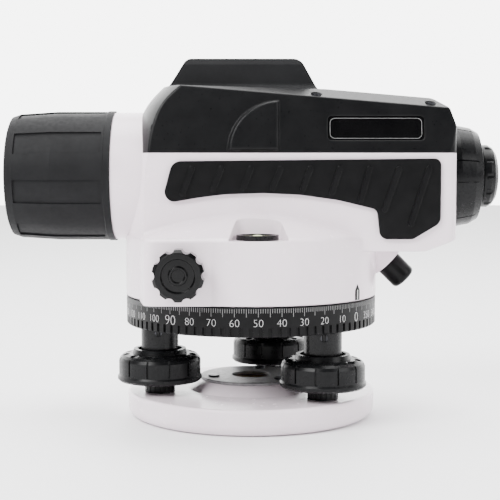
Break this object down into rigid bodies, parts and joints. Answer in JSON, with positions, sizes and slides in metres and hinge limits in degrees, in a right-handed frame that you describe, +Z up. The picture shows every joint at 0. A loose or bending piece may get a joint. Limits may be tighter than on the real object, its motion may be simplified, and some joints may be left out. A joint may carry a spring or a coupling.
{
  "type": "automatic level",
  "caption": "Surveyor's automatic level: pendulum-compensated telescope on a turning housing with a horizontal circle, levelling screws and a tripod base.",
  "frame": {"origin": "on the vertical axis at the underside of the base plate, at the mouth of the tripod thread", "axes": "+X towards the eyepiece along the line of sight, +Z up along the vertical axis, -Y the observer's left-hand side"},
  "size_m": [0.2008, 0.124, 0.1473],
  "materials": {
    "white_paint": "fine powder coat",
    "black_plastic": "fine matt texture",
    "black_rubber": "soft matt",
    "gloss_black": "satin gloss",
    "circle_paint": "satin, white graduations",
    "dark_alloy": "black anodised or painted",
    "steel": "machined",
    "spring_steel": "dull plated sheet",
    "brass": "machined",
    "aluminium": "machined",
    "lens_glass": "coated",
    "prism_glass": "polished",
    "vial_glass": "clear, yellow-green filling",
    "plate_grey": "plain"
  },
  "bodies": {
    "base": {"base_plate": "white_paint", "thread_insert": "brass", "centre_plate": "spring_steel", "centre_plate_screws": "steel", "ball_retainers": "brass"},
    "foot_left": {"foot_knob_left": "black_plastic", "foot_spindle_left": "steel", "pivot_ball_left": "steel"},
    "foot_right": {"foot_knob_right": "black_plastic", "foot_spindle_right": "steel"},
    "foot_rear": {"foot_knob_rear": "black_plastic", "foot_spindle_rear": "steel"},
    "tilt_stage_left": {"pivot_ball_right": "steel"},
    "tilt_stage_right": {"pivot_ball_rear": "steel"},
    "tribrach": {"tribrach": "dark_alloy", "foot_bushes": "brass", "tension_screws": "steel", "vertical_axis": "steel", "washers": "spring_steel", "axis_screw": "steel"},
    "circle": {"horizontal_circle": "circle_paint"},
    "telescope": {"housing": "white_paint", "top_cover": "black_plastic", "cover_screws": "steel", "name_plates": "plate_grey", "grip_pad_left": "black_rubber", "grip_pad_right": "black_rubber", "sight": "black_plastic", "sight_windows": "lens_glass", "index_mark": "gloss_black", "vial_cup": "dark_alloy", "vial": "vial_glass", "housing_bushes": "brass", "lens_hood": "black_plastic", "objective_cell": "dark_alloy", "objective_lenses": "lens_glass", "focus_guide": "aluminium", "compensator_frame": "aluminium", "fixed_prisms": "prism_glass", "eyepiece_shroud": "black_plastic", "eyepiece_tube": "aluminium", "reticle_cell": "brass", "reticle_glass": "lens_glass", "reticle_screws": "steel", "button_spring": "steel"},
    "tangent_drive": {"worm_shaft": "steel", "tangent_knobs": "gloss_black"},
    "clutch": {"clutch_gear": "brass"},
    "focus_drive": {"pinion": "steel", "focus_knob": "gloss_black"},
    "focus_slide": {"focus_carriage": "aluminium", "focusing_lens": "lens_glass"},
    "pendulum": {"pendulum_frame": "brass", "pendulum_prism": "prism_glass", "suspension_ribbons": "steel"},
    "dioptre": {"dioptre_ring": "black_plastic"},
    "eyepiece": {"eyepiece_barrel": "dark_alloy", "eyepiece_lenses": "lens_glass"},
    "check_button": {"button_cap": "black_rubber", "button_rod": "steel"}
  },
  "joints": [
    {"name": "foot_left_spin", "type": "hinge", "parent": "base", "child": "foot_left", "pos_m": [-0.03758, -0.01149, 0.0085], "axis": [0, 0, 1], "range_deg": [-902, 902]},
    {"name": "foot_right_spin", "type": "hinge", "parent": "base", "child": "foot_right", "pos_m": [0.02874, -0.0268, 0.0085], "axis": [0, 0, 1], "range_deg": [-902, 902]},
    {"name": "foot_rear_spin", "type": "hinge", "parent": "base", "child": "foot_rear", "pos_m": [0.00884, 0.03829, 0.0085], "axis": [0, 0, 1], "range_deg": [-902, 902]},
    {"name": "lift_left", "type": "hinge", "parent": "base", "child": "tilt_stage_left", "pos_m": [0.02874, -0.0268, 0.0085], "axis": [-0.2924, 0.9563, 0], "range_deg": [-2.43, 2.43]},
    {"name": "lift_right", "type": "hinge", "parent": "tilt_stage_left", "child": "tilt_stage_right", "pos_m": [0.00884, 0.03829, 0.0085], "axis": [-0.682, -0.7314, 0], "range_deg": [-2.43, 2.43]},
    {"name": "lift_rear", "type": "hinge", "parent": "tilt_stage_right", "child": "tribrach", "pos_m": [-0.03758, -0.01149, 0.0085], "axis": [0.9744, -0.225, 0], "range_deg": [-2.43, 2.43]},
    {"name": "circle_turn", "type": "hinge", "parent": "tribrach", "child": "circle", "pos_m": [0, 0, 0.045], "axis": [0, 0, 1], "continuous": true},
    {"name": "azimuth", "type": "hinge", "parent": "tribrach", "child": "telescope", "pos_m": [0, 0, 0.07], "axis": [0, 0, 1], "continuous": true},
    {"name": "tangent_turn", "type": "hinge", "parent": "telescope", "child": "tangent_drive", "pos_m": [-0.027, 0, 0.0627], "axis": [0, 1, 0], "continuous": true},
    {"name": "clutch_turn", "type": "hinge", "parent": "telescope", "child": "clutch", "pos_m": [0, 0, 0.0627], "axis": [0, 0, 1], "continuous": true},
    {"name": "focus_travel", "type": "slide", "parent": "telescope", "child": "focus_slide", "axis": [1, 0, 0], "range_m": [-0.007, 0.007]},
    {"name": "focus_turn", "type": "hinge", "parent": "telescope", "child": "focus_drive", "pos_m": [-0.018, 0.0165, 0.1043], "axis": [0, 1, 0], "range_deg": [-134, 134]},
    {"name": "pendulum_swing", "type": "hinge", "parent": "telescope", "child": "pendulum", "pos_m": [0.029, 0, 0.117], "axis": [0, 1, 0], "range_deg": [-0.5, 0.5]},
    {"name": "eyepiece_travel", "type": "slide", "parent": "telescope", "child": "eyepiece", "axis": [1, 0, 0], "range_m": [-0.00125, 0.00125]},
    {"name": "dioptre_turn", "type": "hinge", "parent": "telescope", "child": "dioptre", "pos_m": [0.099, 0, 0.0993], "axis": [1, 0, 0], "range_deg": [-151, 151]},
    {"name": "check_press", "type": "slide", "parent": "telescope", "child": "check_button", "axis": [-0.7071, 0, 0.7071], "range_m": [0, 0.0025], "stiffness_N_per_m": 300, "springref_m": -0.002, "deforming": ["button_spring"]}
  ],
  "couplings": [
    {"joint": "foot_left_spin", "follows": "lift_left", "ratio": -370.39},
    {"joint": "foot_right_spin", "follows": "lift_right", "ratio": -370.39},
    {"joint": "foot_rear_spin", "follows": "lift_rear", "ratio": -370.39},
    {"joint": "clutch_turn", "follows": "tangent_turn", "ratio": 0.016667},
    {"joint": "focus_turn", "follows": "focus_travel", "rad_per_m": -333.33},
    {"joint": "dioptre_turn", "follows": "eyepiece_travel", "rad_per_m": 2094.4}
  ]
}
